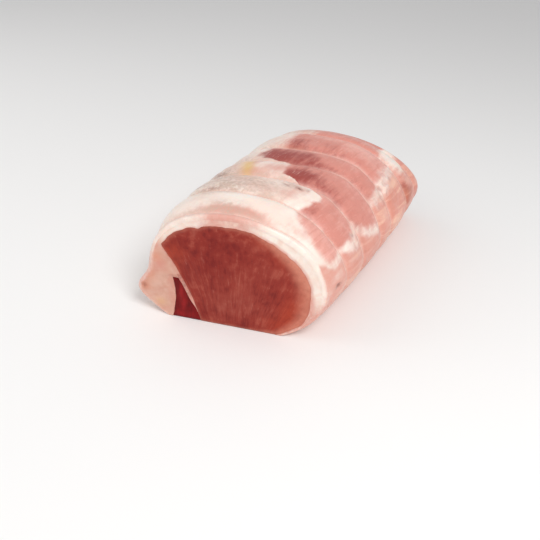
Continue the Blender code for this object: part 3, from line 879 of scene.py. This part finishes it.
def makeMuscle(ringAt, settings):
    mesh = bmesh.new()
    layers = {name: mesh.verts.layers.float.new(name) for name in ("fan", "dark", "warm", "pale", "rim")}
    layers["fibre"] = mesh.verts.layers.float_vector.new("fibre")
    count, deep = settings["around"], settings["innerRows"]
    rows = steps(0, form["length"], deep)
    rings = [ringAt(y, count, settings["overlap"]) for y in rows]

    def wall(u, v):
        number = round(v * deep)
        x, z = rings[number][round(u * count) % count]
        where = place(rows[number], x, z)
        if number == 0:
            where.y += settings["rimDip"]
        if number == deep:
            where.y -= settings["rimDip"]
        return where, cutTones(settings, x, z, 1)

    newGrid(mesh, count, deep, layers, wall)
    newGrid(mesh, count, settings["cutRows"], layers, domedCap(rings[0], 0, -1, settings["cutBulge"], settings))
    newGrid(mesh, count, settings["backRows"], layers,
            domedCap(rings[-1], form["length"], 1, settings["backBulge"], settings))
    return mesh


def muscleMaterial(name, settings, tones, streakScale):
    material, shader = newMaterial(name, settings)
    still = objectPoint()
    fibre = attribute("fibre", "Vector")
    broad = grain(still, 48, 3)
    mottle = grain(still, 190, 4, 0.6)
    fine = grain(still, 760, 3, 0.6)
    streak = grain(mapped(fibre, (1, 0.13, 1)), streakScale, 4, 0.6, 1.1)
    thin = grain(mapped(fibre, (1, 0.1, 1)), streakScale * 2.3, 3, 0.6, 0.8)

    # fine fibres in a fan low on the cut, soft mottling higher up
    fan = attribute("fan")
    fibres = mixTo(fan, mottle, streak)
    blend = add(times(fibres, 0.4), times(broad, 0.3), times(mottle, 0.3))
    tone = mixTo(spread(blend, 0.36, 0.5), tones["dark"], tones["middle"])
    tone = mixTo(spread(blend, 0.5, 0.64), tone, tones["light"])
    tone = over(tone, "warm", spread(blend, 0.36, 0.6, 0.55, 1), tones["warm"])
    # the pale tone also lays a painted soft sheen low on the large muscle's cut
    tone = over(tone, "pale", spread(blend, 0.4, 0.6, 0.25, 0.9), tones["pale"])
    tone = over(tone, "dark", spread(blend, 0.4, 0.62, 0.95, 0.45), tones["deepest"])
    lines = times(spread(thin, 0.58, 0.74), spread(mottle, 0.4, 0.64),
                  spread(fan, 0.2, 1, 0.15, 0.45))
    tone = mixTo(lines, tone, tones["marbling"])
    tone = over(tone, "rim", spread(mottle, 0.3, 0.7, 0.72, 1), tones["rim"])
    height = add(times(fibres, 0.7), times(thin, 0.3), times(fine, 0.2))
    finishWith(shader, tone, spread(mottle, 0.25, 0.75, 0.34, 0.54), height, 0.5, 0.0005)
    return material


leanFinish = muscleMaterial(
    "collarLean",
    {"Coat Weight": 0.05, "Coat Roughness": 0.32, "Coat IOR": 1.4, "Subsurface Weight": 0.1,
     "Subsurface Scale": 0.003, "Subsurface Radius": (1, 0.3, 0.22), "Specular IOR Level": 0.24},
    {"light": colour(168, 74, 58), "middle": colour(146, 44, 32), "dark": colour(122, 26, 20),
     "warm": colour(176, 62, 36), "pale": colour(162, 76, 62), "deepest": colour(118, 12, 10),
     "marbling": colour(204, 128, 110), "rim": colour(214, 138, 115)},
    streakScale=420)
newPiece("leanMuscle", makeMuscle(muscleRing, leanMuscle), leanFinish, "lean", "eye_muscle")


# the small dark muscle
darkMuscle = {
    "around": 140, "cutRows": 28, "innerRows": 10, "backRows": 20, "overlap": 0.0003,
    "leftSteps": 12, "leftTop": 0.0296, "rightSteps": 16, "floorSteps": 8,
    "rimDip": 0.0006, "rimWide": 0.16, "fibreRelief": 0.0001, "waves": ((0.0004, 0.016, 31),),
    "middle": (-0.0285, 0.0075), "cutBulge": 0.0004, "backBulge": 0.0001,
    "fanAt": (-0.022, -0.06), "fanTurn": 0.07,
    "dark": [(-26, 13, 2.6, 8, 0.9), (-35, 24, 3, 6, 0.6), (-35, 10, 1.6, 6, 0.5)],
    "warm": [(-32, 20, 1.3, 6, 0.95), (-29.8, 10, 1.3, 5, 0.95), (-32, 3, 4.5, 2.4, 0.75), (-24, 3, 3, 2, 0.4)],
    "pale": [],
    "rimFade": [(0, 0.08)], "softRim": [(-90, 0.35), (400, 0.35)],
}


def wedgeRing(y, count, grow):
    # up the left side, over the tip, down the right side, back along the floor
    outline = [(wedgeLeft(z) - grow, z) for z in steps(0, darkMuscle["leftTop"], darkMuscle["leftSteps"])]
    outline.append((form["wedgeTip"][0], form["wedgeTip"][1] + grow))
    heights = steps(form["wedgeShoulder"], 0, darkMuscle["rightSteps"])
    outline += [(wedgeRight(z) + grow, z) for z in heights]
    outline += [(x, 0) for x in steps(outline[-1][0], outline[0][0], darkMuscle["floorSteps"])[1:]]
    return evenRing(outline, count)


darkFinish = muscleMaterial(
    "collarDark",
    {"Coat Weight": 0.05, "Coat Roughness": 0.28, "Coat IOR": 1.4, "Subsurface Weight": 0.05,
     "Subsurface Scale": 0.002, "Subsurface Radius": (1, 0.25, 0.2), "Specular IOR Level": 0.2},
    {"light": colour(134, 12, 14), "middle": colour(118, 3, 6), "dark": colour(98, 1, 4),
     "warm": colour(158, 26, 28), "pale": colour(172, 60, 52), "deepest": colour(86, 0, 2),
     "marbling": colour(160, 44, 40), "rim": colour(122, 8, 10)},
    streakScale=480)
newPiece("darkMuscle", makeMuscle(wedgeRing, darkMuscle), darkFinish, "dark_lean", "side_muscle")


# the seam of fat between the two muscles
seamFat = {
    "foot": 0.006, "top": 0.0312, "cuts": 37, "taper": 0.01, "leastHalf": 0.00005,
    "wander": 0.00022, "wanderPace": 330, "overlap": 0.0003,
    "lobe": 0.8, "blush": 0.9, "paleAt": (0.35, 0.012, 0.003), "brown": (0.45, 0.013, 0.02),
}


def makeSeam():
    mesh = bmesh.new()
    bmesh.ops.create_cube(mesh, size=1)
    upright = [e for e in mesh.edges if abs(e.verts[0].co.z - e.verts[1].co.z) > 0.5]
    bmesh.ops.subdivide_edges(mesh, edges=upright, cuts=seamFat["cuts"], use_grid_fill=True)
    layers = {name: mesh.verts.layers.float.new(name) for name in ("blush", "cut", "lobe", "pink", "fleck")}
    foot, top = seamFat["foot"], seamFat["top"]
    paler, paleHeight, paleSpread = seamFat["paleAt"]
    brown, low, high = seamFat["brown"]
    for vert in mesh.verts:
        z = foot + (top - foot) * (vert.co.z + 0.5)
        left, right = wedgeRight(z) - seamFat["overlap"], muscleSide(z) + seamFat["overlap"]
        half = 0.5 * (right - left) * ease((z - foot) / seamFat["taper"]) + seamFat["leastHalf"]
        x = 0.5 * (left + right) + (half if vert.co.x > 0 else -half)
        x += seamFat["wander"] * wobble(z * seamFat["wanderPace"], 2 * vert.co.x, 4.4)
        vert.co = place(0 if vert.co.y < 0 else form["length"], x, z)
        tones = {"cut": 1, "lobe": seamFat["lobe"], "blush": seamFat["blush"], "fleck": brown * between(z, low, high),
                 "pink": 1 - paler * bell(z, paleHeight, paleSpread)}
        for name, value in tones.items():
            vert[layers[name]] = value
    return mesh


newPiece("seamFat", makeSeam(), fatFinish, "fat", "fat_cap")


# floor, light and camera
studio = {
    "floor": colour(244, 243, 241), "floorSize": 6, "floorDrop": 0.0003, "floorRoughness": 0.75,
    "sky": colour(250, 250, 252), "skyStrength": 0.55, "aim": (0, 0, 0.03),
    "keyPower": 6.5, "keySize": 0.55, "keyAt": (0.55, -0.45, 0.85),
    "fillPower": 2.2, "fillSize": 0.9, "fillAt": (-0.75, -0.35, 0.55),
    "lens": 42.07, "sensor": 36, "clip": (0.01, 50),
    "cameraAt": (0.15349, -0.39005, 0.25), "pitch": 32.4, "roll": 4.72, "heading": (-0.4067, 0.9135),
}

floorMesh = bmesh.new()
bmesh.ops.create_grid(floorMesh, x_segments=2, y_segments=2, size=studio["floorSize"])
bmesh.ops.translate(floorMesh, verts=floorMesh.verts, vec=(0, 0, -studio["floorDrop"]))
floorData = bpy.data.meshes.new("studioFloor")
floorMesh.to_mesh(floorData)
floorMesh.free()
floor = bpy.data.objects.new("studioFloor", floorData)
scene.collection.objects.link(floor)
floorFinish = newMaterial("studioFloor", {"Base Color": studio["floor"], "Roughness": studio["floorRoughness"]})[0]
floorData.materials.append(floorFinish)

world = bpy.data.worlds.new("studioSky")
scene.world = world
world.use_nodes = True
background = world.node_tree.nodes["Background"]
background.inputs["Color"].default_value = studio["sky"]
background.inputs["Strength"].default_value = studio["skyStrength"]


def softLight(name, at, size, power):
    data = bpy.data.lights.new(name, "AREA")
    data.shape = "DISK"
    data.size = size
    data.energy = power
    light = bpy.data.objects.new(name, data)
    light.location = at
    light.rotation_euler = (Vector(studio["aim"]) - Vector(at)).to_track_quat("-Z", "Y").to_euler()
    scene.collection.objects.link(light)


softLight("keyLight", studio["keyAt"], studio["keySize"], studio["keyPower"])
softLight("fillLight", studio["fillAt"], studio["fillSize"], studio["fillPower"])

cameraData = bpy.data.cameras.new("photoView")
cameraData.lens = studio["lens"]
cameraData.sensor_width = studio["sensor"]
cameraData.clip_start, cameraData.clip_end = studio["clip"]
camera = bpy.data.objects.new("photoView", cameraData)
pitch, roll = math.radians(studio["pitch"]), math.radians(studio["roll"])
ahead = Vector((*studio["heading"], 0)).normalized()
level = Vector((ahead.y, -ahead.x, 0))
forward = ahead * math.cos(pitch) - Vector((0, 0, math.sin(pitch)))
upright = ahead * math.sin(pitch) + Vector((0, 0, math.cos(pitch)))
right = level * math.cos(roll) + upright * math.sin(roll)
top = upright * math.cos(roll) - level * math.sin(roll)
camera.rotation_euler = Matrix((right, top, -forward)).transposed().to_euler()
camera.location = studio["cameraAt"]
scene.collection.objects.link(camera)
scene.camera = camera
scene.view_settings.view_transform = "Standard"
scene.view_settings.look = "None"
print("roast: studio ready")
